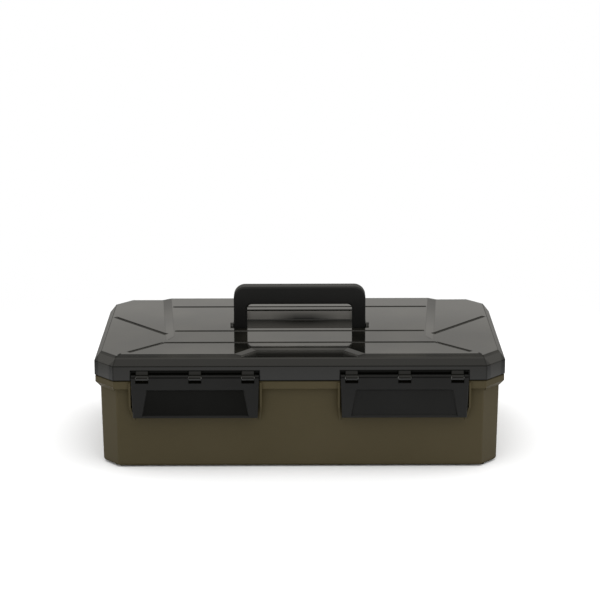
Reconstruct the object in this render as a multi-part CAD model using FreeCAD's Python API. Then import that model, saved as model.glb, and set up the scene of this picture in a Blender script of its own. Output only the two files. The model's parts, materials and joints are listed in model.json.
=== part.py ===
import FreeCAD, Part
import math
import os

# A moulded tackle utility box: a drafted tub with a rim flange, a faceted lid on two rear hinges,
# a carrying handle that folds into a trough in the lid, and two wide front latches.
# Millimetres. X is to the right, Y to the back, Z up. The origin is at the middle of the box, on the
# surface that it stands on.

# Heights, from the ground up
foot_proud = 1.2
tub_height = 75.9
flange_height = 7.5
lid_gap = 1.0
skirt_height = 13.5
bevel_height = 8.5
plateau_rise = 1.5

# Lid
lid_width = 380.0
lid_depth = 216.0
corner_cut_x = 18.8
corner_cut_y = 21.5
bevel_run = 6.5
lid_wall = 2.2
panel_wall = 2.4

# Raised middle of the lid: half widths, and places along Y measured from the lid's front or rear
plateau_rear_half = 129.5
plateau_waist_half = 117.6
waist_from_front = 58.0
band_run = 8.0
wing_root_half = 118.2
wing_root_from_front = 68.4
step_half = 122.8
step_length = 12.4
shoulder_half = 129.1
shoulder_length = 5.5
wing_front_half = 164.1
wing_front_length = 4.5
wing_run = 3.0

# Engraved lines of the lid
groove_width = 4.6
groove_floor = 4.0
groove_depth = 1.3
groove_end_margin = 1.2
rear_groove_inset = 40.4
middle_groove_inset = 130.3
front_groove_inset = 45.2
front_groove_half = 127.1
front_groove_tip_half = 157.4
front_groove_tip_inset = 13.3
side_groove_root_gap = 8.9
side_groove_root_inset = 79.3
side_groove_tip_gap = 9.6
side_groove_tip_inset = 143.3

# Finger scoop in the lid's front edge
scoop_rear_half = 44.5
scoop_front_half = 60.5
scoop_length = 27.0
scoop_depth = 7.4
scoop_margin_run = 4.0
scoop_margin_drop = 1.5
scoop_lip_drop = 2.7
scoop_lip_back = 7.5
scoop_wall_run = 1.0

# Handle trough
trough_front_length = 11.0
trough_rear_length = 58.4
trough_depth = 10.0
trough_rear_slope = 2.5
trough_corner = 2.0

# Tub
tub_inset = 5.2
tub_draft = 1.2
tub_wall = 2.2
tub_floor = 2.4
tub_edge = 3.0
cavity_bevel = 3.0
flange_inset = 0.6
flange_sweep_rise = 1.8
flange_sweep_drop = 3.4
upstand_height = 12.3

# Rubber seal and its seat in the lid
seal_width = 2.4
seal_height = 3.0
seat_rib = 1.2
seat_lip = 2.4

# Rubber feet
foot_half = 3.3
foot_corner = 1.2
foot_pocket = 1.0
foot_inner_x = 52.2
foot_inset_x = 15.6
foot_inset_y = 10.0

# Removable dividers and their slots
divider_count = 4
divider_thickness = 2.0
divider_headroom = 5.3
divider_bead = 3.6
divider_bead_height = 3.0
divider_notch_radius = 40.0
divider_notch_depth = 9.0
slot_rib_width = 1.8
slot_rib_depth = 2.2
slot_rib_headroom = 1.5

# Front latches
latch_centre_x = 96.0
latch_width = 117.0
latch_drop = 37.6
latch_taper = 1.2
latch_axis_out = 0.4
latch_axis_rise = 2.6
latch_roll_radius = 3.0
latch_thickness = 2.6
latch_face_proud = 0.1
latch_plate_rise = 0.6
latch_pin_radius = 1.25
latch_knuckle_inset = 10.0
latch_knuckle_width = 11.4
latch_knuckle_radius = 2.9
latch_notch_drop = 4.5
latch_line_rise = 1.1
latch_line_width = 0.7
latch_line_depth = 0.6
label_top_drop = 11.5
label_foot_margin = 2.5
label_top_half = 43.8
label_bottom_half = 48.0
label_depth = 1.1
hook_half = 46.0
hook_height = 3.0
hook_reach = 1.9
window_headroom = 4.0
window_depth = 3.0
window_wall = 1.2

# Guard ribs beside the latches
guard_rib_width = 1.8
guard_rib_out = 1.4
guard_rib_drop = 1.0
guard_rib_bend = 10.0
guard_rib_tail = 5.3
guard_rib_lean = 3.5

# Rear hinges
hinge_centre_x = 96.0
hinge_knuckles = 3
hinge_knuckle_width = 22.9
hinge_axis_out = 3.8
hinge_axis_rise = 0.4
hinge_knuckle_radius = 3.2
hinge_pin_radius = 1.5

# Carrying handle
handle_width = 126.0
handle_rise = 40.1
handle_leg = 12.7
handle_bar = 17.3
handle_thickness = 14.0
handle_outer_radius = 11.0
handle_inner_radius = 5.0
handle_edge = 1.4
pivot_y = -2.0
pivot_drop = 0.3
stub_radius = 1.8
stub_length = 2.4
ear_radius = 3.1
ear_width = 2.7

# Clearances between pieces
running_gap = 0.08
moving_gap = 0.3
side_gap = 0.8
slot_gap = 0.3

# Small radii of moulded edges
lid_edge = 1.1
fine_edge = 0.5

# A length past the whole box for cutting tools, and a distance that counts as none
beyond = 400.0
nearly = 0.01

# Heights and places that follow from the sizes above
tub_floor_top = foot_proud + tub_floor
flange_bottom = foot_proud + tub_height
flange_top = flange_bottom + flange_height
upstand_top = flange_top + upstand_height
skirt_bottom = flange_top + lid_gap
rim_height = skirt_bottom + skirt_height
side_panel_height = rim_height + bevel_height
plateau_height = side_panel_height + plateau_rise
front_y = -lid_depth / 2
rear_y = lid_depth / 2
seal_bottom = upstand_top + moving_gap
seal_roof = seal_bottom + seal_height
trough_floor = plateau_height - trough_depth
trough_half = handle_width / 2 + side_gap
divider_top = trough_floor - lid_wall - divider_headroom
pivot_z = plateau_height - pivot_drop
latch_axis_y = front_y - latch_axis_out
latch_axis_z = skirt_bottom + latch_axis_rise
latch_front_y = latch_axis_y - latch_roll_radius - latch_face_proud
latch_back_y = latch_front_y + latch_thickness
latch_bottom = latch_axis_z - latch_drop
window_back_y = front_y + window_depth
window_top = latch_axis_z + latch_roll_radius + window_headroom
hinge_axis_y = rear_y + hinge_axis_out
hinge_axis_z = flange_top + hinge_axis_rise
knuckle_step = hinge_knuckle_width + moving_gap


# Outlines: a rectangle with cut corners is (half width, half depth, cut along X, cut along Y)
def inset(outline, distance):
    """The same outline with every side moved inwards."""
    half_x, half_y, cut_x, cut_y = outline
    diagonal = math.hypot(cut_x, cut_y)
    keep = 1 - distance * (cut_x + cut_y - diagonal) / (cut_x * cut_y)
    return (half_x - distance, half_y - distance, cut_x * keep, cut_y * keep)


def tub_outline(z):
    """The outside of the tub's wall at a height: it widens steadily from the ground up."""
    return inset(lid_outline, tub_inset + tub_draft * (flange_bottom - z) / tub_height)


lid_outline = (lid_width / 2, lid_depth / 2, corner_cut_x, corner_cut_y)
panel_outline = inset(lid_outline, bevel_run)
flange_outline = inset(lid_outline, flange_inset)
upstand_outline = inset(lid_outline, tub_inset)


# Solids from outlines and profiles
def polygon(points):
    """A closed wire through 3-D points."""
    vectors = [FreeCAD.Vector(*point) for point in points]
    return Part.makePolygon(vectors + vectors[:1])


def ring_wire(outline, z):
    half_x, half_y, cut_x, cut_y = outline
    right = [(half_x, half_y - cut_y), (half_x - cut_x, half_y)]
    left = [(-x, y) for x, y in reversed(right)]
    rear = right + left
    front = [(-x, -y) for x, y in rear]
    return polygon([(x, y, z) for x, y in rear + front])


def taper(low, z_low, high, z_high):
    """A solid between two outlines at two heights."""
    return Part.makeLoft([ring_wire(low, z_low), ring_wire(high, z_high)], True, True)


def prism(outline, z_low, z_high):
    return Part.Face(ring_wire(outline, z_low)).extrude(FreeCAD.Vector(0, 0, z_high - z_low))


def along_x(profile, x_low, x_high):
    """A solid along X on a profile of (y, z) points."""
    face = Part.Face(polygon([(x_low, y, z) for y, z in profile]))
    return face.extrude(FreeCAD.Vector(x_high - x_low, 0, 0))


def along_y(profile, y_low, y_high):
    """A solid along Y on a profile of (x, z) points."""
    face = Part.Face(polygon([(x, y_low, z) for x, z in profile]))
    return face.extrude(FreeCAD.Vector(0, y_high - y_low, 0))


def block(x_low, x_high, y_low, y_high, z_low, z_high):
    corner = FreeCAD.Vector(x_low, y_low, z_low)
    return Part.makeBox(x_high - x_low, y_high - y_low, z_high - z_low, corner)


def rod(radius, x_low, x_high, y, z):
    """A cylinder along X."""
    start = FreeCAD.Vector(x_low, y, z)
    return Part.makeCylinder(radius, x_high - x_low, start, FreeCAD.Vector(1, 0, 0))


def mirrored(shape):
    return shape.mirror(FreeCAD.Vector(0, 0, 0), FreeCAD.Vector(1, 0, 0))


def both_sides(shape):
    return [shape, mirrored(shape)]


def picked(shape, wanted):
    """The edges that the test picks by their middle point and direction."""
    return [edge for edge in shape.Edges if wanted(edge.CenterOfMass, edge.tangentAt(edge.FirstParameter))]


def rounded(shape, radius, wanted):
    return shape.makeFillet(radius, picked(shape, wanted))


def bevelled(shape, size, wanted):
    return shape.makeChamfer(size, picked(shape, wanted))


def export(name, shape):
    solids = shape.Solids
    solid = solids[0] if len(solids) == 1 else Part.makeCompound(solids)
    solid.exportStep(os.path.join("parts", name + ".step"))
    print(name, "solids", len(solids), "valid", solid.isValid(), "volume", round(solid.Volume))


# Tub
def tub_outside():
    """Drafted wall with soft bottom and corner edges, rim flange, and the upstand inside the lid."""
    wall_top = flange_bottom + fine_edge
    wall = taper(tub_outline(foot_proud), foot_proud, tub_outline(wall_top), wall_top)
    wall = rounded(wall, tub_edge, lambda middle, along: middle.z < flange_bottom)
    upstand = prism(upstand_outline, flange_top - fine_edge, upstand_top)
    upstand = bevelled(upstand, fine_edge, lambda middle, along: middle.z > upstand_top - fine_edge)
    return wall.fuse([flange(), flange_sweep(), upstand]).removeSplitter()


def flange():
    rim = prism(flange_outline, flange_bottom, flange_top)
    rim = bevelled(rim, fine_edge, lambda middle, along: abs(along.z) < fine_edge)
    low = flange_bottom + flange_sweep_rise
    sides = side_blocks(flange_bottom - fine_edge, low)
    return rim.cut(sides)


def flange_sweep():
    """The flange's underside, which runs out into the wall at the sides and corners."""
    low = flange_bottom - flange_sweep_drop
    high = flange_bottom + flange_sweep_rise
    sweep = taper(inset(tub_outline(low), nearly), low, flange_outline, high)
    return sweep.common(Part.makeCompound(side_blocks(low, high)))


def side_blocks(z_low, z_high):
    """Everything beyond the corners' front and rear ends, on both sides, between two heights."""
    start = lid_width / 2 - corner_cut_x
    return both_sides(block(start, beyond, -beyond, beyond, z_low, z_high))


def tub_hollow():
    """The space inside the tub, from the floor up past the upstand."""
    low = tub_floor_top
    high = upstand_top + tub_wall
    bend = low + cavity_bevel
    foot = inset(tub_outline(low), tub_wall + cavity_bevel)
    walls = inset(tub_outline(bend), tub_wall)
    hollow = taper(walls, bend, inset(tub_outline(high), tub_wall), high)
    return hollow.fuse(taper(foot, low, walls, bend)).removeSplitter()


def divider_places():
    """The dividers' middles along X, evenly spread over the hollow."""
    length = 2 * (tub_outline(foot_proud)[0] - tub_wall)
    bay = length / (divider_count + 1)
    return [bay * (i + 1) - length / 2 for i in range(divider_count)]


def divider_slots():
    """Pairs of upright ribs inside the front and rear walls, one pair at each end of a divider."""
    low = tub_floor_top - tub_floor / 2
    high = flange_bottom - slot_rib_headroom
    inner = inset(tub_outline(foot_proud), tub_wall + slot_rib_depth)[1]
    outer = inset(tub_outline(foot_proud), tub_wall / 2)[1]
    offset = divider_thickness / 2 + slot_gap
    ribs = []
    for x in divider_places():
        for start in (x - offset - slot_rib_width, x + offset):
            end = start + slot_rib_width
            ribs.append(block(start, end, -outer, -inner, low, high))
            ribs.append(block(start, end, inner, outer, low, high))
    return ribs


def guard_rib(x_top, lean):
    """One upright rib beside a latch: it leans towards its foot and fades into the wall."""
    half = guard_rib_width / 2
    top = flange_top - guard_rib_drop
    bend = latch_bottom + guard_rib_bend
    low = latch_bottom - guard_rib_tail
    foot = x_top + lean
    outline = [
        (x_top - half, top),
        (x_top + half, top),
        (x_top + half, bend),
        (foot + half, low),
        (foot - half, low),
        (x_top - half, bend),
    ]
    root_y = -inset(tub_outline(foot_proud), tub_wall / 2)[1]
    crest_y = front_y - guard_rib_out
    side = [(crest_y, top), (root_y, top), (root_y, low), (-tub_outline(low)[1], low), (crest_y, bend)]
    return along_y(outline, crest_y, root_y).common(along_x(side, -beyond, beyond))


def guard_ribs():
    reach = latch_width / 2 + side_gap + guard_rib_width / 2
    outer = guard_rib(latch_centre_x + reach, -guard_rib_lean)
    inner = guard_rib(latch_centre_x - reach, guard_rib_lean / 3)
    return both_sides(outer) + both_sides(inner)


def foot_places():
    half_x, half_y = tub_outline(foot_proud)[:2]
    outer_x = half_x - foot_inset_x
    y = half_y - foot_inset_y
    xs = (-outer_x, -foot_inner_x, foot_inner_x, outer_x)
    return [(x, side * y) for side in (-1, 1) for x in xs]


def foot_block(x, y, z_low, z_high):
    """A square block with cut corners, which pad and pocket share."""
    foot = block(x - foot_half, x + foot_half, y - foot_half, y + foot_half, z_low, z_high)
    return bevelled(foot, foot_corner, lambda middle, along: along.z != 0)


def base_tub():
    tub = tub_outside().cut(tub_hollow())
    tub = tub.fuse(divider_slots() + guard_ribs() + tub_hinge_knuckles())
    top = foot_proud + foot_pocket
    pockets = [foot_block(x, y, foot_proud, top) for x, y in foot_places()]
    return tub.cut(pockets + hinge_bores(hinge_pin_radius)).removeSplitter()


def foot_pad(x, y):
    """A rubber pad, half sunk in its pocket under the tub."""
    return foot_block(x, y, 0, foot_proud + foot_pocket)


# Rear hinges
def hinge_spans():
    """The start and end along X of each knuckle of the right-hand hinge: even ones are the tub's."""
    first = hinge_centre_x - (knuckle_step * hinge_knuckles - moving_gap) / 2
    starts = [first + knuckle_step * i for i in range(hinge_knuckles)]
    return [(start, start + hinge_knuckle_width) for start in starts]


def hinge_knuckle(web, span):
    low, high = span
    barrel = rod(hinge_knuckle_radius, low, high, hinge_axis_y, hinge_axis_z)
    return along_x(web, low, high).fuse(barrel)


def tub_hinge_knuckles():
    root_y = flange_outline[1] - fine_edge
    web = [
        (root_y, flange_top - fine_edge),
        (hinge_axis_y, flange_top - fine_edge),
        (hinge_axis_y, hinge_axis_z - hinge_knuckle_radius),
        (flange_outline[1] + fine_edge, flange_bottom + fine_edge),
        (root_y, flange_bottom + fine_edge),
    ]
    right = [hinge_knuckle(web, span) for span in hinge_spans()[::2]]
    return right + [mirrored(knuckle) for knuckle in right]


def lid_hinge_knuckles():
    root_y = rear_y - fine_edge
    web = [
        (root_y, skirt_bottom + fine_edge),
        (hinge_axis_y, hinge_axis_z),
        (hinge_axis_y, hinge_axis_z + hinge_knuckle_radius),
        (root_y, hinge_axis_z + 3 * hinge_knuckle_radius),
    ]
    right = [hinge_knuckle(web, span) for span in hinge_spans()[1::2]]
    return right + [mirrored(knuckle) for knuckle in right]


def hinge_bores(radius):
    low = hinge_spans()[0][0] - moving_gap
    high = hinge_spans()[-1][1] + moving_gap
    return both_sides(rod(radius, low, high, hinge_axis_y, hinge_axis_z))


def hinge_pins():
    """The right and left hinge pins, pressed into the tub's knuckles."""
    low = hinge_spans()[0][0]
    high = hinge_spans()[-1][1]
    return both_sides(rod(hinge_pin_radius, low, high, hinge_axis_y, hinge_axis_z))


# Dividers
def divider(x):
    """A plate that stands in its slots, with a bead along its top and a finger notch."""
    low_half = inset(tub_outline(foot_proud), tub_wall + slot_gap)[1]
    high_half = inset(tub_outline(divider_top), tub_wall + slot_gap)[1]
    corner = cavity_bevel + slot_gap
    profile = [
        (-low_half + corner, tub_floor_top),
        (low_half - corner, tub_floor_top),
        (low_half, tub_floor_top + corner),
        (high_half, divider_top),
        (-high_half, divider_top),
        (-low_half, tub_floor_top + corner),
    ]
    plate = along_x(profile, x - divider_thickness / 2, x + divider_thickness / 2)
    side = divider_bead / 2
    end = high_half - slot_rib_depth - slot_gap
    bead = block(x - side, x + side, -end, end, divider_top - divider_bead_height, divider_top)
    centre_z = divider_top + divider_notch_radius - divider_notch_depth
    notch = rod(divider_notch_radius, x - divider_bead, x + divider_bead, 0, centre_z)
    return plate.fuse(bead).cut(notch).removeSplitter()


# Lid
def lid_outside():
    """Skirt, bevel and flat top, with soft edges."""
    skirt = prism(lid_outline, skirt_bottom, rim_height)
    bevel = taper(lid_outline, rim_height, panel_outline, side_panel_height)
    body = skirt.fuse(bevel).removeSplitter()
    return rounded(body, lid_edge, lambda middle, along: middle.z > skirt_bottom + lid_edge)


def plateau_body(base):
    """The middle of the plateau, with a sloped band along each side."""
    waist_y = front_y + waist_from_front
    back_y = panel_outline[1]
    spread = band_run * (plateau_height - base) / plateau_rise

    def wire(extra, z):
        rear = plateau_rear_half + extra
        waist = plateau_waist_half + extra
        corners = [(rear, back_y), (waist, waist_y), (-waist, waist_y), (-rear, back_y)]
        return polygon([(x, y, z) for x, y in corners])

    return Part.makeLoft([wire(spread, base), wire(0, plateau_height)], True, True)


def plateau_wing(base):
    """The front of the plateau, which flares out to the lid's front corners."""
    root_y = front_y + wing_root_from_front
    step_y = root_y - step_length
    shoulder_y = step_y - shoulder_length
    tip_y = -panel_outline[1]
    right = [
        (wing_root_half, root_y),
        (step_half, step_y),
        (shoulder_half, shoulder_y),
        (wing_front_half, tip_y + wing_front_length),
        (wing_front_half, tip_y),
    ]
    spread = wing_run * (plateau_height - base) / plateau_rise

    def wire(extra, z):
        half = [(x + extra, y) for x, y in right]
        return polygon([(x, y, z) for x, y in half] + [(-x, y, z) for x, y in reversed(half)])

    return Part.makeLoft([wire(spread, base), wire(0, plateau_height)], True, True)


def plateau():
    base = side_panel_height - lid_edge
    raised = plateau_body(base).fuse(plateau_wing(base)).removeSplitter()
    top_outline = inset(lid_outline, bevel_run - lid_edge / 2)
    return raised.common(prism(top_outline, base, plateau_height))


def groove(start, end, surface):
    """A shallow engraved line between two plan points of a surface at a height."""
    run_x = end[0] - start[0]
    run_y = end[1] - start[1]
    wide = groove_width / 2
    narrow = groove_floor / 2
    top = surface + 2 * plateau_rise
    low = surface - groove_depth
    section = [(wide, top), (wide, surface), (narrow, low), (-narrow, low), (-wide, surface), (-wide, top)]
    cutter = along_x(section, 0, math.hypot(run_x, run_y))
    angle = math.degrees(math.atan2(run_y, run_x))
    cutter.rotate(FreeCAD.Vector(0, 0, 0), FreeCAD.Vector(0, 0, 1), angle)
    cutter.translate(FreeCAD.Vector(*start, 0))
    return cutter


def plateau_half(y):
    """The plateau's half width at a place along Y, behind its waist."""
    waist_y = front_y + waist_from_front
    share = (y - waist_y) / (panel_outline[1] - waist_y)
    return plateau_waist_half + (plateau_rear_half - plateau_waist_half) * share


def grooves():
    """Two lines across the plateau, one that bends out to the front corners, and one on each side panel."""
    cutters = []
    for from_rear in (rear_groove_inset, middle_groove_inset):
        y = rear_y - from_rear
        half = plateau_half(y) - groove_end_margin
        cutters.append(groove((-half, y), (half, y), plateau_height))
    y = front_y + front_groove_inset
    bend = (front_groove_half, y)
    tip = (front_groove_tip_half, front_y + front_groove_tip_inset)
    cutters.append(groove((-front_groove_half, y), bend, plateau_height))
    cutters += both_sides(groove(bend, tip, plateau_height))
    root = (plateau_waist_half + side_groove_root_gap, front_y + side_groove_root_inset)
    tip = (lid_width / 2 - side_groove_tip_gap, front_y + side_groove_tip_inset)
    return cutters + both_sides(groove(root, tip, side_panel_height))


def scoop_part(shrink_low, z_low, shrink_high, z_high, start_y):
    """A cutter on the scoop's outline, drawn in by a distance at each of two heights."""
    scoop_y = front_y + scoop_length
    flare = (scoop_front_half - scoop_rear_half) / (scoop_length - bevel_run)

    def wire(shrink, z):
        back_y = scoop_y - shrink
        rear = scoop_rear_half - shrink
        front = rear + flare * (back_y - start_y)
        corners = [(rear, back_y), (front, start_y), (-front, start_y), (-rear, back_y)]
        return polygon([(x, y, z) for x, y in corners])

    return Part.makeLoft([wire(shrink_low, z_low), wire(shrink_high, z_high)], True, True)


def scoop():
    """The finger scoop: a sloped margin on three sides, and a steep pocket behind a low front lip."""
    run = scoop_margin_run
    drop = scoop_margin_drop
    margin_low = plateau_height - drop
    margin = scoop_part(run, margin_low, -run, plateau_height + drop, front_y)
    mouth = scoop_part(run, plateau_height - scoop_lip_drop, run, margin_low + nearly, front_y)
    floor = plateau_height - scoop_depth
    pocket = scoop_part(run + scoop_wall_run, floor, run, margin_low + nearly, front_y + scoop_lip_back)
    return margin.fuse([mouth, pocket])


def scoop_backing():
    """The walls and floor under the scoop's pocket."""
    floor = plateau_height - scoop_depth - lid_wall
    back_y = front_y + scoop_length
    return block(-scoop_front_half, scoop_front_half, front_y + lid_wall, back_y, floor, side_panel_height)


def trough_hollow():
    """The hollow that takes the folded handle, with a leaning rear wall."""
    above = plateau_height + trough_depth
    front = pivot_y - trough_front_length
    rear = pivot_y + trough_rear_length
    profile = [
        (front, above),
        (front, trough_floor),
        (rear - trough_rear_slope, trough_floor),
        (rear + trough_rear_slope, above),
    ]
    hollow = along_x(profile, -trough_half, trough_half)
    return rounded(hollow, trough_corner, lambda middle, along: middle.z < trough_floor + fine_edge)


def trough_shell():
    """The walls and floor round the handle's hollow."""
    front = pivot_y - trough_front_length - lid_wall
    rear = pivot_y + trough_rear_length + lid_wall
    half = trough_half + lid_wall
    low = trough_floor - lid_wall
    shell = block(-half, half, front, rear, low, side_panel_height)
    return rounded(shell, trough_corner, lambda middle, along: middle.z < low + fine_edge)


def pivot_ears():
    ear = rod(ear_radius, trough_half - fine_edge, trough_half + ear_width, pivot_y, pivot_z)
    return both_sides(ear.cut(block(0, trough_half, -beyond, beyond, 0, beyond)))


def pivot_bores():
    end = handle_width / 2 + stub_length + moving_gap
    return both_sides(rod(stub_radius + running_gap, 0, end, pivot_y, pivot_z))


def seal_ring(width, z_low, z_high):
    """A ring that stands over the middle of the tub's upstand."""
    middle = tub_inset + tub_wall / 2
    outer = prism(inset(lid_outline, middle - width / 2), z_low, z_high)
    return outer.cut(prism(inset(lid_outline, middle + width / 2), z_low, z_high))


def lid_seal():
    """The rubber ring that sits in the lid's seat, just over the upstand."""
    ring = seal_ring(seal_width, seal_bottom, seal_roof)
    return bevelled(ring, fine_edge, lambda middle, along: middle.z < seal_bottom + fine_edge)


def latch_window(centre_x):
    """The space in the skirt that a latch's roll turns in."""
    half = latch_width / 2 + side_gap
    front = latch_axis_y - latch_roll_radius
    return block(centre_x - half, centre_x + half, front, window_back_y, flange_top, window_top)


def latch_backing(centre_x):
    """The thin wall behind and above a latch window."""
    half = latch_width / 2 + side_gap + window_wall
    front = front_y + window_wall
    back = window_back_y + window_wall
    high = window_top + window_wall
    return block(centre_x - half, centre_x + half, front, back, skirt_bottom, high)


def latch_knuckle_places(centre_x):
    pitch = latch_width / 2 - latch_knuckle_inset
    return [centre_x + step * pitch for step in (-1, 0, 1)]


def lid_latch_knuckle(x):
    """A knuckle on the latch's axis, on an arm that leans back to the top of the window."""
    low = x - latch_knuckle_width / 2
    high = x + latch_knuckle_width / 2
    root_y = window_back_y + window_wall / 2
    root_z = window_top + window_wall / 2
    arm = [
        (latch_axis_y, latch_axis_z + latch_knuckle_radius),
        (window_back_y - window_wall, root_z),
        (root_y, root_z),
        (root_y, latch_axis_z - latch_knuckle_radius / 2),
        (latch_axis_y, latch_axis_z - latch_knuckle_radius / 2),
    ]
    barrel = rod(latch_knuckle_radius, low, high, latch_axis_y, latch_axis_z)
    return barrel.fuse(along_x(arm, low, high))


def latch_bore(centre_x, radius):
    low = centre_x - latch_width / 2 - side_gap
    high = centre_x + latch_width / 2 + side_gap
    return rod(radius, low, high, latch_axis_y, latch_axis_z)


def lid_shell():
    inner = inset(lid_outline, lid_wall)
    shoulder = rim_height - lid_wall / 2
    under = side_panel_height - panel_wall
    space = prism(inner, flange_top, shoulder)
    space = space.fuse(taper(inner, shoulder, inset(panel_outline, lid_wall), under))
    outside = lid_outside()
    shell = outside.cut(space)
    seat_width = seal_width + 2 * seat_rib
    seat = seal_ring(seat_width, seal_roof - seat_lip, side_panel_height - lid_edge)
    centres = (-latch_centre_x, latch_centre_x)
    inside = [seat, scoop_backing()] + [latch_backing(x) for x in centres]
    inside = [piece.common(outside) for piece in inside]
    shell = shell.fuse(inside + [plateau(), trough_shell()])
    removed = [seal_ring(seal_width, seal_bottom, seal_roof), scoop(), trough_hollow()]
    removed += grooves() + [latch_window(x) for x in centres]
    shell = shell.cut(removed)
    knuckles = [lid_latch_knuckle(x) for centre in centres for x in latch_knuckle_places(centre)]
    shell = shell.fuse(knuckles + lid_hinge_knuckles() + pivot_ears())
    bores = pivot_bores() + hinge_bores(hinge_pin_radius + running_gap)
    bores += [latch_bore(x, latch_pin_radius) for x in centres]
    return shell.cut(bores).removeSplitter()


# Latches
def latch_plate(centre_x):
    """The flat plate under the roll, a little narrower at its foot."""
    half = latch_width / 2
    shoulder = latch_axis_z - latch_notch_drop
    top = latch_axis_z + latch_plate_rise
    outline = [
        (centre_x - half, top),
        (centre_x + half, top),
        (centre_x + half, shoulder),
        (centre_x + half - latch_taper, latch_bottom),
        (centre_x - half + latch_taper, latch_bottom),
        (centre_x - half, shoulder),
    ]
    plate = along_y(outline, latch_front_y, latch_back_y)

    def wanted(middle, along):
        return middle.y < latch_front_y + fine_edge and middle.z < latch_axis_z - fine_edge

    return bevelled(plate, fine_edge, wanted)


def label_recess(centre_x):
    """The bare sunk field in the middle of the plate, with sloped sides."""
    top = latch_axis_z - label_top_drop
    low = latch_bottom + label_foot_margin

    def wire(grow, y):
        wide = label_bottom_half + grow
        narrow = label_top_half + grow
        corners = [
            (centre_x - narrow, top + grow),
            (centre_x + narrow, top + grow),
            (centre_x + wide, low - grow),
            (centre_x - wide, low - grow),
        ]
        return polygon([(x, y, z) for x, z in corners])

    deep = wire(0, latch_front_y + label_depth)
    return Part.makeLoft([deep, wire(2 * label_depth, latch_front_y - label_depth)], True, True)


def latch_hook(centre_x):
    """The ledge on the latch's back that snaps under the tub's flange."""
    top = flange_bottom - moving_gap
    tip = -flange_outline[1] + hook_reach
    root = latch_back_y - latch_thickness / 2
    profile = [
        (root, top),
        (tip - fine_edge, top),
        (tip, top - fine_edge),
        (tip, top - hook_height / 2),
        (latch_back_y, top - hook_height - fine_edge),
        (root, top - hook_height - fine_edge),
    ]
    return along_x(profile, centre_x - hook_half, centre_x + hook_half)


def latch_line(centre_x):
    """The fine line between the roll and the plate."""
    z = latch_axis_z + latch_line_rise
    out = latch_front_y - latch_line_depth
    deep = latch_front_y + latch_line_depth
    profile = [(out, z + latch_line_width), (deep, z), (out, z - latch_line_width)]
    return along_x(profile, centre_x - latch_width / 2, centre_x + latch_width / 2)


def latch_notch(x):
    """The gap in the roll and the plate's top that clears a lid knuckle."""
    half = latch_knuckle_width / 2 + moving_gap
    front = latch_axis_y - 2 * latch_roll_radius
    back = latch_axis_y + 2 * latch_roll_radius
    high = latch_axis_z + 2 * latch_roll_radius
    return block(x - half, x + half, front, back, latch_axis_z - latch_notch_drop, high)


def latch(centre_x):
    low = centre_x - latch_width / 2
    high = centre_x + latch_width / 2
    roll = rod(latch_roll_radius, low, high, latch_axis_y, latch_axis_z)
    body = latch_plate(centre_x).fuse([roll, latch_hook(centre_x)])
    removed = [label_recess(centre_x), latch_line(centre_x)]
    removed += [latch_notch(x) for x in latch_knuckle_places(centre_x)]
    removed.append(latch_bore(centre_x, latch_pin_radius + running_gap))
    return body.cut(removed).removeSplitter()


def latch_pin(centre_x):
    half = latch_width / 2 - moving_gap
    return rod(latch_pin_radius, centre_x - half, centre_x + half, latch_axis_y, latch_axis_z)


# Handle
def carry_handle():
    """A U-shaped bar whose legs end in round feet with a stub axle on each outer side."""
    half = handle_width / 2
    inner = half - handle_leg
    top = pivot_z + handle_rise
    underside = top - handle_bar
    front = pivot_y - handle_thickness / 2
    back = pivot_y + handle_thickness / 2
    frame = block(-half, half, front, back, pivot_z, top)
    frame = rounded(
        frame, handle_outer_radius, lambda middle, along: middle.z == top and abs(along.y) > fine_edge
    )
    grip = block(-inner, inner, front, back, pivot_z - handle_thickness, underside)
    grip = rounded(
        grip, handle_inner_radius, lambda middle, along: middle.z == underside and abs(along.y) > fine_edge
    )
    ends = both_sides(rod(handle_thickness / 2, inner, half, pivot_y, pivot_z))
    frame = frame.cut(grip).fuse(ends).removeSplitter()
    frame = bevelled(
        frame, handle_edge, lambda middle, along: abs(middle.y - pivot_y) > fine_edge or middle.z < pivot_z
    )
    stubs = both_sides(rod(stub_radius, half - handle_edge, half + stub_length, pivot_y, pivot_z))
    return frame.fuse(stubs).removeSplitter()


def main():
    os.makedirs("parts", exist_ok=True)
    export("base_tub", base_tub())
    for number, (x, y) in enumerate(foot_places(), start=1):
        export(f"foot_pad_{number}", foot_pad(x, y))
    for number, x in enumerate(divider_places(), start=1):
        export(f"divider_{number}", divider(x))
    right_pin, left_pin = hinge_pins()
    export("hinge_pin_left", left_pin)
    export("hinge_pin_right", right_pin)
    export("lid_shell", lid_shell())
    export("lid_seal", lid_seal())
    export("carry_handle", carry_handle())
    for side, x in (("left", -latch_centre_x), ("right", latch_centre_x)):
        export("latch_" + side, latch(x))
        export("latch_pin_" + side, latch_pin(x))


main()
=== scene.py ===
import json
import math

import bpy
from mathutils import Matrix, Vector


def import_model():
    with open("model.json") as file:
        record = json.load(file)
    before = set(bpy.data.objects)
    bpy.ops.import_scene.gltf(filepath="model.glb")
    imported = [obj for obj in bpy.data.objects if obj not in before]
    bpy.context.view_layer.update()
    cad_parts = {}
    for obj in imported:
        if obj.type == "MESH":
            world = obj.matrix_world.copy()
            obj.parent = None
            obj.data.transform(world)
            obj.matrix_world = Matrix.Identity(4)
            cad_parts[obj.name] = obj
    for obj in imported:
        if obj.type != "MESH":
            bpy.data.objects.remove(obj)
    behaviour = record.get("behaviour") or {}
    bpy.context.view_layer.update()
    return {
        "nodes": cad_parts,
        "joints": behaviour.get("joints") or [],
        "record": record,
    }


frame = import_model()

MM = 0.001
WHOLE = (0.0, 1.0)

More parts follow.
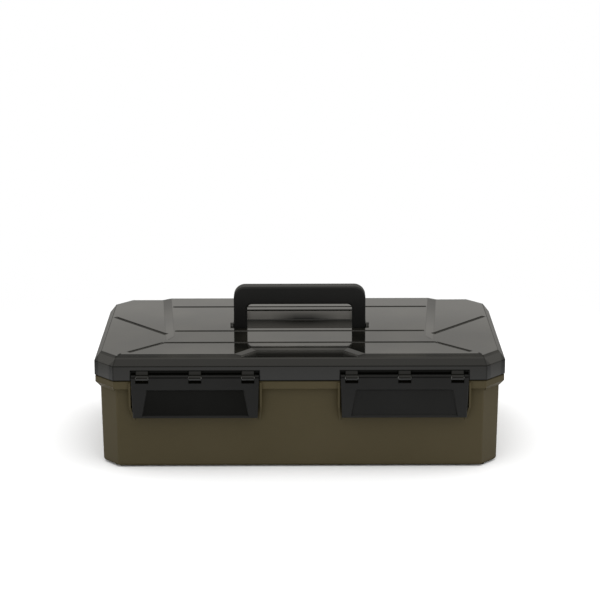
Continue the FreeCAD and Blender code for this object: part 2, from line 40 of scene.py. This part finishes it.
# Colours, linear
OLIVE = (0.0490, 0.0400, 0.0204)
OLIVE_WORN = (0.0535, 0.0435, 0.0228)
DIVIDER = (0.075, 0.062, 0.036)
SMOKE = (0.0025, 0.0025, 0.0018)
SEEN_THROUGH = (0.013, 0.012, 0.009)
LID_INSIDE = (0.016, 0.0155, 0.0135)
# Painted light: a paler tone in the grooves on the lid's top
PAINTED_GROOVE_LIGHT = (0.095, 0.092, 0.084)
# Painted light up the trough's rear wall, darker low and paler high
PAINTED_TROUGH_WALL_LOW = (0.080, 0.077, 0.069)
PAINTED_TROUGH_WALL_HIGH = (0.120, 0.115, 0.104)
# Painted light on the trough's floor towards its front
PAINTED_TROUGH_FLOOR_LIGHT = (0.024, 0.023, 0.020)
# Painted light up the rear wall of the finger scoop's pocket
PAINTED_POCKET_LIGHT = (0.060, 0.058, 0.052)
BLACK = (0.0055, 0.0055, 0.005)
BLACK_WORN = (0.008, 0.008, 0.0075)
RUBBER = (0.012, 0.012, 0.012)
STEEL = (0.56, 0.56, 0.55)
PAPER_WHITE = (0.86, 0.86, 0.86)

# What polished faces mirror in front of the box and behind it: (sine of the height angle, grey)
MIRRORED_FRONT = [
    (-1.0, 0.9),
    (-0.24, 0.9),
    (-0.1, 0.2),
    (0.05, 0.12),
    (0.17, 0.15),
    (0.25, 0.60),
    (0.45, 0.65),
    (0.7, 0.75),
    (0.85, 0.95),
    (1.0, 0.95),
]
MIRRORED_REAR = [
    (-1.0, 0.1),
    (-0.2, 0.1),
    (-0.1, 0.48),
    (-0.06, 0.50),
    (0.03, 0.10),
    (0.17, 0.12),
    (0.225, 0.42),
    (0.240, 0.46),
    (0.251, 0.88),
    (0.257, 0.80),
    (0.2605, 0.67),
    (0.263, 0.60),
    (0.271, 0.61),
    (0.277, 0.69),
    (0.6, 0.85),
    (1.0, 0.95),
]

# Edges and crevices: how faces shade, and where painted shade falls in hollows and along crisp edges
CRISP_ANGLE = math.radians(25)
FLAT_ANGLE = math.radians(6)
FLAT_WIDTH = 2.5 * MM
LARGE_FACES_ONLY = 100
CREVICE_REACH = 6 * MM
GROOVE_REACH = 2.5 * MM
OPENNESS_LIMITS = (0.45, 0.95)
EDGE_LINE_WIDTH = 0.9 * MM
EDGE_LINE_SAMPLES = 8
EDGE_LINE_BEND = 0.08
EDGE_LINE_STRENGTH = 0.6

# Clouds, grain and scratches: the scale and detail of their noise, and how strongly they show
CLOUDS = (9.0, 4.0)
CLOUD_LIMITS = (0.35, 0.65)
GRAIN = (1400.0, 2.0)
PATCHES = (18.0, 3.0)
PATCH_LIMITS = (0.42, 0.68)
WAVES = (25.0, 1.0)
WAVE_STRENGTH = 0.05
SCRATCHES = (600.0, 4.0)
SCRATCH_STRENGTH = 0.1
PAPER_CLOUDS = (0.6, 4.0)
BUMP_DEPTH = 0.05 * MM
WORN_RUBBER = 1.5
WORN_STEEL = 0.8
WORN_PAPER = 0.995

# Sheen, as the shader's specular level, or as its factor where a place is dull, where painted shade
# dims its reflection, or where a painted highlight raises it
LID_SHEEN = 0.5
LID_GROOVE_SHADED_SHEEN = 0.2
SKIRT_SHADED_SHEEN = 0.82
BAND_SHADED_SHEEN = 0.77
WINDOW_SHADED_SHEEN = 0.1
TROUGH_EDGE_SHADED_SHEEN = 0.2
BLACK_SHEEN = 0.16
LATCH_LINE_SHADED_SHEEN = 0.1
HANDLE_PAINTED_SHEEN = 1.5
# The label fields are dull; the left one is also painted darker than the right, a painted difference in
# the reflection they catch
LABEL_DULL_AND_SHADED_LEFT = 1.0
LABEL_DULL_AND_SHADED_RIGHT = 0.35
# Painted shade on the tub where a closed latch hems it in
BEHIND_LATCH_SHADE = 0.12

# Slopes of the lid's side bands, where painted shade dims the sheen, as how much of a face's direction
# lies along X
BAND_SLOPES = (0.10, 0.40)


def pivot(joint):
    """The place that a CAD joint turns about."""
    return next(Vector(row["pos_m"]) for row in frame["joints"] if row["name"] == joint)


def span(place, low, high):
    """Two limits along an axis, given in millimetres from a place on it."""
    return (place + low * MM, place + high * MM)


# Where a finish, painted light or painted shade changes within the lid and up the handle, measured from
# the handle's pivot
REAR_WALL_FOOT = 56.0
HANDLE_X, HANDLE_Y, HANDLE_Z = pivot("handle_fold")
LID_TOP = HANDLE_Z - 3.0 * MM
INSIDE_ENDS = span(HANDLE_X, -186.0, 186.0)
INSIDE_DEPTHS = span(HANDLE_Y, -101.5, 105.5)
INSIDE_HEIGHTS = span(HANDLE_Z, -30.0, -3.2)
TROUGH_ENDS = span(HANDLE_X, -63.7, 63.7)
TROUGH_HEIGHTS = span(HANDLE_Z, -10.3, -1.0)
TROUGH_FLOOR = span(HANDLE_Y, -10.5, REAR_WALL_FOOT)
TROUGH_FLOOR_FADE = span(HANDLE_Y, 27.0, 52.0)
TROUGH_REAR = span(HANDLE_Y, REAR_WALL_FOOT, REAR_WALL_FOOT + 4.0)
# A painted dark line of shade along the trough's rear upper edge
TROUGH_REAR_EDGE = span(HANDLE_Y, REAR_WALL_FOOT + 2.0, REAR_WALL_FOOT + 6.0)
TROUGH_EDGE_HEIGHTS = span(HANDLE_Z, -1.6, 0.7)
# A painted dark reflection of the handle's bar, low in the middle of the trough's rear wall
DARK_REFLECTION_MIDDLE = HANDLE_X + 4.0 * MM
DARK_REFLECTION_REACH = (8.0 * MM, 34.0 * MM)
DARK_REFLECTION_HEIGHTS = span(HANDLE_Z, -8.3, -0.6)
POCKET_ENDS = span(HANDLE_X, -60.0, 60.0)
POCKET_DEPTHS = span(HANDLE_Y, -98.4, -82.0)
POCKET_HEIGHTS = span(HANDLE_Z, -4.3, -1.2)
# Where the painted sheen on the handle rises
HANDLE_HEIGHTS = span(HANDLE_Z, 3.2, 29.2)

# Where a finish or painted shade changes at the latches, measured from the right latch's pivot. The
# left one mirrors it.
SKIRT_REACH = 10.0
WINDOW_BACK = 4.4
LATCH_X, LATCH_Y, LATCH_Z = pivot("latch_right_swing")
WINDOW_ENDS = span(LATCH_X, -59.0, 59.0)
# Painted shade on the back walls of the latch windows
WINDOW_DEPTHS = span(LATCH_Y, WINDOW_BACK - 2.0, WINDOW_BACK)
WINDOW_HEIGHTS = span(LATCH_Z, -4.2, 7.1)
# Painted shade dims the skirt's reflection here
SKIRT_DEPTHS = span(LATCH_Y, -SKIRT_REACH, 0.9)
SKIRT_HEIGHTS = span(LATCH_Z, -SKIRT_REACH, 10.8)
KNUCKLE_FRONT = LATCH_Y - 0.1 * MM
BEHIND_LATCH_DEPTHS = span(LATCH_Y, -SKIRT_REACH, WINDOW_BACK)
BEHIND_LATCH_HEIGHTS = span(LATCH_Z, -8.2, 12.0)
# Painted shade in the line across each latch
LATCH_LINE = span(LATCH_Z, 0.4, 1.8)
LATCH_FRONT = span(LATCH_Y, -4.1, -2.1)
LABEL_FLOOR = span(LATCH_Y, -2.3, -1.7)
LABEL_HEIGHTS = span(LATCH_Z, -36.7, -10.7)

# Camera, fitted to the photo
CAMERA_PITCH = math.radians(14.6)
CAMERA_ROLL = math.radians(-0.15)
CAMERA_DISTANCE = 1.9995
CAMERA_TARGET_HEIGHT = 0.1336
CAMERA_LENS = 124.95
CAMERA_SENSOR = 36.0
CAMERA_SHIFT = 0.0007
CAMERA_RANGE = 100.0

# Light and surround
SKY_FRONT = 0.86
SKY_SIDES = 1.35
KEY_STRENGTH = 1.4
KEY_ANGLE = math.radians(70)
KEY_DIRECTION = (-0.1, 0.25, -1.0)
WHITE = (1.0, 1.0, 1.0)
WARMTH = (1.0, 0.975, 0.92)
FRONT_TO_REAR = (-0.1, 0.1)
FLOOR_HALF = 0.9
FLOOR_SOLID = 0.34
FLOOR_FADE = 0.6


class Graph:
    """The nodes of a material or surround, with short ways to add to them."""

    def __init__(self, owner):
        owner.use_nodes = True
        self.nodes = owner.node_tree.nodes
        self.links = owner.node_tree.links

    def feed(self, socket, value):
        """Links a socket to another one, or gives it a number or a colour."""
        if isinstance(value, bpy.types.NodeSocket):
            self.links.new(value, socket)
        elif isinstance(value, tuple):
            socket.default_value = (*value, 1)
        else:
            socket.default_value = value

    def texture_place(self, kind="Object"):
        """The shaded point in the CAD's metres, or the direction seen."""
        return self.nodes.new("ShaderNodeTexCoord").outputs[kind]

    def axes(self, vector):
        """X, Y and Z of a place or a direction."""
        split = self.nodes.new("ShaderNodeSeparateXYZ")
        self.feed(split.inputs["Vector"], vector)
        return split.outputs["X"], split.outputs["Y"], split.outputs["Z"]

    def math(self, operation, first, second=0.0):
        node = self.nodes.new("ShaderNodeMath")
        node.operation = operation
        self.feed(node.inputs[0], first)
        self.feed(node.inputs[1], second)
        return node.outputs["Value"]

    def product(self, first, *others):
        for other in others:
            first = self.math("MULTIPLY", first, other)
        return first

    def rest_of(self, value):
        """What is left of one."""
        return self.math("SUBTRACT", 1.0, value)

    def within(self, value, limits):
        """One where a value lies between two limits, and nought elsewhere."""
        low, high = limits
        return self.product(self.math("GREATER_THAN", value, low), self.math("LESS_THAN", value, high))

    def both_sides(self, place):
        """A place with its X taken from the middle, so that one limit holds on the left and right."""
        x, y, z = place
        return self.math("ABSOLUTE", x), y, z

    def inside(self, place, *limits):
        """One where X, Y and Z lie between their limits, and nought elsewhere. None stands for any."""
        return self.product(*[self.within(axis, pair) for axis, pair in zip(place, limits) if pair])

    def ramp(self, value, limits, first=0.0, last=1.0):
        """A straight rise or fall between two limits of a value, and level outside them."""
        node = self.nodes.new("ShaderNodeMapRange")
        self.feed(node.inputs["Value"], value)
        self.feed(node.inputs["From Min"], limits[0])
        self.feed(node.inputs["From Max"], limits[1])
        self.feed(node.inputs["To Min"], first)
        self.feed(node.inputs["To Max"], last)
        return node.outputs["Result"]

    def where(self, mask, level):
        """One where a mask is nought, and a level where it is one."""
        return self.ramp(mask, WHOLE, 1.0, level)

    def mix(self, factor, first, second):
        """A mix of two colours."""
        node = self.nodes.new("ShaderNodeMix")
        node.data_type = "RGBA"
        self.feed(node.inputs["Factor"], factor)
        colours = [socket for socket in node.inputs if socket.type == "RGBA"]
        self.feed(colours[0], first)
        self.feed(colours[1], second)
        return next(socket for socket in node.outputs if socket.type == "RGBA")

    def noise(self, kind):
        scale, detail = kind
        node = self.nodes.new("ShaderNodeTexNoise")
        self.feed(node.inputs["Scale"], scale)
        self.feed(node.inputs["Detail"], detail)
        self.feed(node.inputs["Vector"], self.texture_place())
        return node.outputs["Fac"]

    def background(self, colour, strength=1.0):
        node = self.nodes.new("ShaderNodeBackground")
        self.feed(node.inputs["Color"], colour)
        self.feed(node.inputs["Strength"], strength)
        return node.outputs["Background"]

    def either(self, factor, first, second):
        """A mix of two shaders."""
        node = self.nodes.new("ShaderNodeMixShader")
        self.feed(node.inputs[0], factor)
        self.feed(node.inputs[1], first)
        self.feed(node.inputs[2], second)
        return node.outputs["Shader"]


class Finish(Graph):
    """A material on the Principled shader."""

    def __init__(self, name):
        self.material = bpy.data.materials.new(name)
        super().__init__(self.material)
        self.shader = self.nodes["Principled BSDF"]
        self.output = self.nodes["Material Output"]

    def give(self, **values):
        """Sets the shader's sockets, named with underscores."""
        for name, value in values.items():
            self.feed(self.shader.inputs[name.replace("_", " ")], value)

    def sheen(self, level):
        self.feed(self.shader.inputs["Specular IOR Level"], level)

    def bump(self, height, strength):
        node = self.nodes.new("ShaderNodeBump")
        self.feed(node.inputs["Strength"], strength)
        self.feed(node.inputs["Distance"], BUMP_DEPTH)
        self.feed(node.inputs["Height"], height)
        self.feed(self.shader.inputs["Normal"], node.outputs["Normal"])

    def geometry(self, kind):
        return self.nodes.new("ShaderNodeNewGeometry").outputs[kind]

    def openness(self, reach):
        """One in the open, and less where a surface is hemmed in, as in grooves and slots."""
        node = self.nodes.new("ShaderNodeAmbientOcclusion")
        self.feed(node.inputs["Distance"], reach)
        return self.ramp(node.outputs["AO"], OPENNESS_LIMITS)

    def painted_edge_lines(self):
        """One on flat faces, and less in a fine line along crisp edges, where it paints a dark line
        into the sheen.
        """
        soft = self.nodes.new("ShaderNodeBevel")
        soft.samples = EDGE_LINE_SAMPLES
        self.feed(soft.inputs["Radius"], EDGE_LINE_WIDTH)
        bend = self.nodes.new("ShaderNodeVectorMath")
        bend.operation = "DISTANCE"
        self.feed(bend.inputs[0], soft.outputs["Normal"])
        self.feed(bend.inputs[1], self.geometry("Normal"))
        return self.ramp(bend.outputs["Value"], (0.0, EDGE_LINE_BEND), 1.0, 1.0 - EDGE_LINE_STRENGTH)


def times(colour, factor):
    return tuple(channel * factor for channel in colour)


def moulded_plastic(name, colour, worn, roughness, grain):
    """Plastic with faint clouds of colour and a fine grain; its sheen is set apart."""
    finish = Finish(name)
    clouds = finish.ramp(finish.noise(CLOUDS), CLOUD_LIMITS)
    finish.give(Base_Color=finish.mix(clouds, colour, worn), Roughness=roughness)
    finish.bump(finish.noise(GRAIN), grain)
    return finish


def satin(name, colour, worn, roughness, sheen, grain):
    """Moulded plastic whose sheen is cut where it is hemmed in: painted shade in crevices."""
    finish = moulded_plastic(name, colour, worn, roughness, grain)
    finish.sheen(finish.product(sheen, finish.openness(CREVICE_REACH)))
    return finish


def olive_plastic():
    """The tub's plastic, with painted shade where a closed latch hems it in."""
    finish = satin("olive_tub", OLIVE, OLIVE_WORN, roughness=0.5, sheen=0.08, grain=0.25)
    place = finish.both_sides(finish.axes(finish.texture_place()))
    behind = finish.inside(place, WINDOW_ENDS, BEHIND_LATCH_DEPTHS, BEHIND_LATCH_HEIGHTS)
    hemmed_in = finish.rest_of(finish.openness(CREVICE_REACH))
    base = finish.shader.inputs["Base Color"].links[0].from_socket
    shaded = finish.mix(finish.product(behind, hemmed_in), base, times(OLIVE, BEHIND_LATCH_SHADE))
    finish.give(Base_Color=shaded)
    return finish


def divider_plastic():
    return satin("divider_plastic", DIVIDER, OLIVE_WORN, roughness=0.5, sheen=0.15, grain=0.25)


def black_plastic():
    """Satin black: a painted highlight that grows up the handle, dull label fields on the latches with
    the left one painted darker, and painted shade in the latch lines.
    """
    finish = moulded_plastic("black_plastic", BLACK, BLACK_WORN, roughness=0.38, grain=0.3)
    place = finish.axes(finish.texture_place())
    right = finish.math("GREATER_THAN", place[0], 0.0)
    dull_and_shaded = finish.ramp(right, WHOLE, LABEL_DULL_AND_SHADED_LEFT, LABEL_DULL_AND_SHADED_RIGHT)
    label = finish.product(finish.inside(place, None, LABEL_FLOOR, LABEL_HEIGHTS), dull_and_shaded)
    line = finish.where(finish.inside(place, None, LATCH_FRONT, LATCH_LINE), LATCH_LINE_SHADED_SHEEN)
    handle = finish.ramp(place[2], HANDLE_HEIGHTS, 1.0, HANDLE_PAINTED_SHEEN)
    openness = finish.openness(CREVICE_REACH)
    finish.sheen(finish.product(BLACK_SHEEN, openness, finish.rest_of(label), line, handle))
    return finish


def trough_edge(finish, place):
    """One along the trough's rear upper edge, where a dark line of shade is painted."""
    return finish.inside(place, TROUGH_ENDS, TROUGH_REAR_EDGE, TROUGH_EDGE_HEIGHTS)


def painted_trough_wall(finish, place):
    """The painted light up the trough's rear wall, paler at the top, with a painted dark reflection of
    the handle's bar low in its middle.
    """
    x, _, z = place
    wall = finish.mix(finish.ramp(z, TROUGH_HEIGHTS), PAINTED_TROUGH_WALL_LOW, PAINTED_TROUGH_WALL_HIGH)
    off_middle = finish.math("ABSOLUTE", finish.math("SUBTRACT", x, DARK_REFLECTION_MIDDLE))
    across = finish.ramp(off_middle, DARK_REFLECTION_REACH, 1.0, 0.0)
    upward = finish.ramp(z, DARK_REFLECTION_HEIGHTS, 1.0, 0.0)
    return finish.mix(finish.product(across, upward), wall, SMOKE)


def trough_colour(finish, place, tint):
    """The tint, with painted light and shade in the handle's trough: a paler floor towards the front,
    painted light up the rear wall and a painted dark line along its upper edge.
    """
    base = finish.mix(finish.ramp(place[1], TROUGH_FLOOR_FADE), PAINTED_TROUGH_FLOOR_LIGHT, SMOKE)
    rear = finish.inside(place, TROUGH_ENDS, TROUGH_REAR, TROUGH_HEIGHTS)
    bottom = finish.inside(place, TROUGH_ENDS, TROUGH_FLOOR, TROUGH_HEIGHTS)
    tint = finish.mix(trough_edge(finish, place), tint, SMOKE)
    tint = finish.mix(rear, tint, painted_trough_wall(finish, place))
    return finish.mix(bottom, tint, base)


def pocket_colour(finish, place, tint):
    """The tint, with painted light up the rear wall of the finger scoop's pocket, fading to the tint
    lower down.
    """
    pocket = finish.inside(place, POCKET_ENDS, POCKET_DEPTHS, POCKET_HEIGHTS)
    return finish.mix(finish.product(pocket, finish.ramp(place[2], POCKET_HEIGHTS)), tint, PAINTED_POCKET_LIGHT)


def lid_colour(finish, place, on_top, openness):
    """The lid's tint: clouds and painted light in the grooves on top, paler inside, and painted light
    and shade in the trough and the scoop.
    """
    patches = finish.ramp(finish.noise(PATCHES), PATCH_LIMITS)
    tint = finish.mix(finish.product(patches, on_top), SMOKE, SEEN_THROUGH)
    tint = finish.mix(finish.product(finish.rest_of(openness), on_top), tint, PAINTED_GROOVE_LIGHT)
    inside = finish.inside(place, INSIDE_ENDS, INSIDE_DEPTHS, INSIDE_HEIGHTS)
    tint = finish.mix(inside, tint, LID_INSIDE)
    tint = trough_colour(finish, place, tint)
    return pocket_colour(finish, place, tint)


def lid_shade_dimming(finish, place, on_top):
    """One on most of the lid, and less where painted shade dims its sheen: on the skirt, the side
    bands, the latch windows and the trough's rear edge.
    """
    window_place = finish.both_sides(place)
    slope = finish.both_sides(finish.axes(finish.geometry("True Normal")))[0]
    dimmer = (
        (finish.inside(place, None, SKIRT_DEPTHS, SKIRT_HEIGHTS), SKIRT_SHADED_SHEEN),
        (finish.product(finish.within(slope, BAND_SLOPES), on_top), BAND_SHADED_SHEEN),
        (finish.inside(window_place, WINDOW_ENDS, WINDOW_DEPTHS, WINDOW_HEIGHTS), WINDOW_SHADED_SHEEN),
        (trough_edge(finish, place), TROUGH_EDGE_SHADED_SHEEN),
    )
    return finish.product(*[finish.where(mask, level) for mask, level in dimmer])


def smoked_plastic():
    """Polished clear plastic with a dark smoke tint: most of what it shows is what it mirrors."""
    finish = Finish("smoke_lid")
    place = finish.axes(finish.texture_place())
    on_top = finish.math("GREATER_THAN", place[2], LID_TOP)
    openness = finish.openness(GROOVE_REACH)
    finish.give(Base_Color=lid_colour(finish, place, on_top, openness), Roughness=0.05, IOR=1.48)
    finish.bump(finish.noise(WAVES), WAVE_STRENGTH)
    # Painted shade: the sheen drops in grooves and along crisp edges, but not on the knuckles' fronts
    knuckle = finish.math("LESS_THAN", place[1], KNUCKLE_FRONT)
    sheen = finish.ramp(finish.math("MAXIMUM", openness, knuckle), WHOLE, LID_GROOVE_SHADED_SHEEN, LID_SHEEN)
    lines = finish.math("MAXIMUM", finish.painted_edge_lines(), knuckle)
    finish.sheen(finish.product(sheen, lines, lid_shade_dimming(finish, place, on_top)))
    return finish


def rubber(name):
    return satin(name, RUBBER, times(RUBBER, WORN_RUBBER), roughness=0.75, sheen=0.3, grain=0.4)


def steel():
    finish = Finish("pin_steel")
    scratches = finish.noise(SCRATCHES)
    worn = finish.ramp(scratches, CLOUD_LIMITS)
    colour = finish.mix(worn, STEEL, times(STEEL, WORN_STEEL))
    finish.give(Base_Color=colour, Metallic=1.0, Roughness=0.3)
    finish.bump(scratches, SCRATCH_STRENGTH)
    return finish


def width_of(mesh, face):
    """A triangle's least width."""
    corners = [mesh.vertices[i].co for i in face.vertices]
    longest = max((first - second).length for first, second in zip(corners, corners[1:] + corners[:1]))
    return 2 * face.area / longest


def crisp(node):
    """Flat faces shade flat, also where they meet at a low angle, and rounded edges shade smooth."""
    mesh = node.data
    mesh.shade_smooth()
    mesh.set_sharp_from_angle(angle=CRISP_ANGLE)
    wide = {}
    for face in mesh.polygons:
        if width_of(mesh, face) > FLAT_WIDTH:
            for key in face.edge_keys:
                wide.setdefault(key, []).append(face.normal)
    for edge in mesh.edges:
        normals = wide.get(edge.key, [])
        if len(normals) == 2 and normals[0].angle(normals[1]) > FLAT_ANGLE:
            edge.use_edge_sharp = True
    normals = node.modifiers.new("crisp", "WEIGHTED_NORMAL")
    normals.weight = LARGE_FACES_ONLY
    normals.keep_sharp = True


def dress():
    """Gives every CAD piece the finish of its material slot."""
    finishes = {
        "olive_tub": olive_plastic(),
        "divider_plastic": divider_plastic(),
        "black_plastic": black_plastic(),
        "smoke_lid": smoked_plastic(),
        "seal_rubber": rubber("seal_rubber"),
        "foot_rubber": rubber("foot_rubber"),
        "pin_steel": steel(),
    }
    for part in frame["record"]["subparts"]:
        piece = frame["nodes"][part["node"]]
        crisp(piece)
        piece.data.materials.clear()
        piece.data.materials.append(finishes[part["material_slot"]].material)


def paper():
    """White paper that fades out away from the middle."""
    finish = Finish("studio_paper")
    colour = finish.mix(finish.noise(PAPER_CLOUDS), PAPER_WHITE, times(PAPER_WHITE, WORN_PAPER))
    finish.give(Base_Color=colour, Roughness=0.9)
    finish.sheen(0.0)
    far = finish.nodes.new("ShaderNodeVectorMath")
    far.operation = "LENGTH"
    finish.feed(far.inputs[0], finish.texture_place())
    fade = finish.nodes.new("ShaderNodeMapRange")
    fade.interpolation_type = "SMOOTHSTEP"
    finish.feed(fade.inputs["Value"], far.outputs["Value"])
    finish.feed(fade.inputs["From Min"], FLOOR_SOLID)
    finish.feed(fade.inputs["From Max"], FLOOR_FADE)
    clear = finish.nodes.new("ShaderNodeBsdfTransparent").outputs["BSDF"]
    sheet = finish.either(fade.outputs["Result"], finish.shader.outputs["BSDF"], clear)
    finish.feed(finish.output.inputs["Surface"], sheet)
    return finish


def floor():
    """A pale sheet under the box, as white as the surround where it fades out."""
    mesh = bpy.data.meshes.new("studio_floor")
    corners = [(-1, -1), (1, -1), (1, 1), (-1, 1)]
    mesh.from_pydata([(x * FLOOR_HALF, y * FLOOR_HALF, 0) for x, y in corners], [], [(0, 1, 2, 3)])
    mesh.materials.append(paper().material)
    plane = bpy.data.objects.new("studio_floor", mesh)
    bpy.context.collection.objects.link(plane)


def warm_grey(value):
    return (*times(WARMTH, value), 1)


def mirrored_greys(sky, height, greys):
    """Greys by height, where straight down is nought and straight up is one."""
    ramp = sky.nodes.new("ShaderNodeValToRGB")
    elements = ramp.color_ramp.elements
    first, *middle, last = [((sine + 1) / 2, warm_grey(grey)) for sine, grey in greys]
    elements[0].position, elements[0].color = first
    elements[1].position, elements[1].color = last
    for position, colour in middle:
        elements.new(position).color = colour
    sky.feed(ramp.inputs["Fac"], height)
    return ramp.outputs["Color"]


def world():
    """White surround: the camera sees plain white, polished faces see soft bands of grey."""
    surround = bpy.data.worlds.new("studio")
    bpy.context.scene.world = surround
    sky = Graph(surround)
    sky.nodes.clear()
    x, y, z = sky.axes(sky.texture_place("Generated"))
    height = sky.ramp(z, (-1.0, 1.0))
    front = mirrored_greys(sky, height, MIRRORED_FRONT)
    rear = mirrored_greys(sky, height, MIRRORED_REAR)
    mirror = sky.background(sky.mix(sky.ramp(y, FRONT_TO_REAR), front, rear))
    sideways = sky.math("ABSOLUTE", x)
    light = sky.background(WHITE, sky.ramp(sideways, WHOLE, SKY_FRONT, SKY_SIDES))
    seen = sky.background(WHITE)
    path = sky.nodes.new("ShaderNodeLightPath")
    unseen = sky.either(path.outputs["Is Glossy Ray"], light, mirror)
    surface = sky.either(path.outputs["Is Camera Ray"], unseen, seen)
    out = sky.nodes.new("ShaderNodeOutputWorld")
    sky.feed(out.inputs["Surface"], surface)


def key_light():
    """A wide soft light from above, which polished faces don't mirror."""
    data = bpy.data.lights.new("key", "SUN")
    data.energy = KEY_STRENGTH
    data.angle = KEY_ANGLE
    lamp = bpy.data.objects.new("key", data)
    lamp.rotation_euler = Vector(KEY_DIRECTION).to_track_quat("-Z", "Y").to_euler()
    lamp.visible_glossy = False
    bpy.context.collection.objects.link(lamp)


def camera():
    """The photo's camera, in front of the box and a little above it."""
    data = bpy.data.cameras.new("photo_camera")
    data.lens = CAMERA_LENS
    data.sensor_width = CAMERA_SENSOR
    data.shift_x = CAMERA_SHIFT
    data.clip_end = CAMERA_RANGE
    eye = bpy.data.objects.new("photo_camera", data)
    back = math.cos(CAMERA_PITCH) * CAMERA_DISTANCE
    up = math.sin(CAMERA_PITCH) * CAMERA_DISTANCE
    turn = Matrix.Rotation(math.pi / 2 - CAMERA_PITCH, 4, "X") @ Matrix.Rotation(CAMERA_ROLL, 4, "Z")
    eye.matrix_world = Matrix.Translation((0, -back, CAMERA_TARGET_HEIGHT + up)) @ turn
    bpy.context.collection.objects.link(eye)
    bpy.context.scene.camera = eye


dress()
floor()
world()
key_light()
camera()
bpy.context.scene.view_settings.view_transform = "Standard"
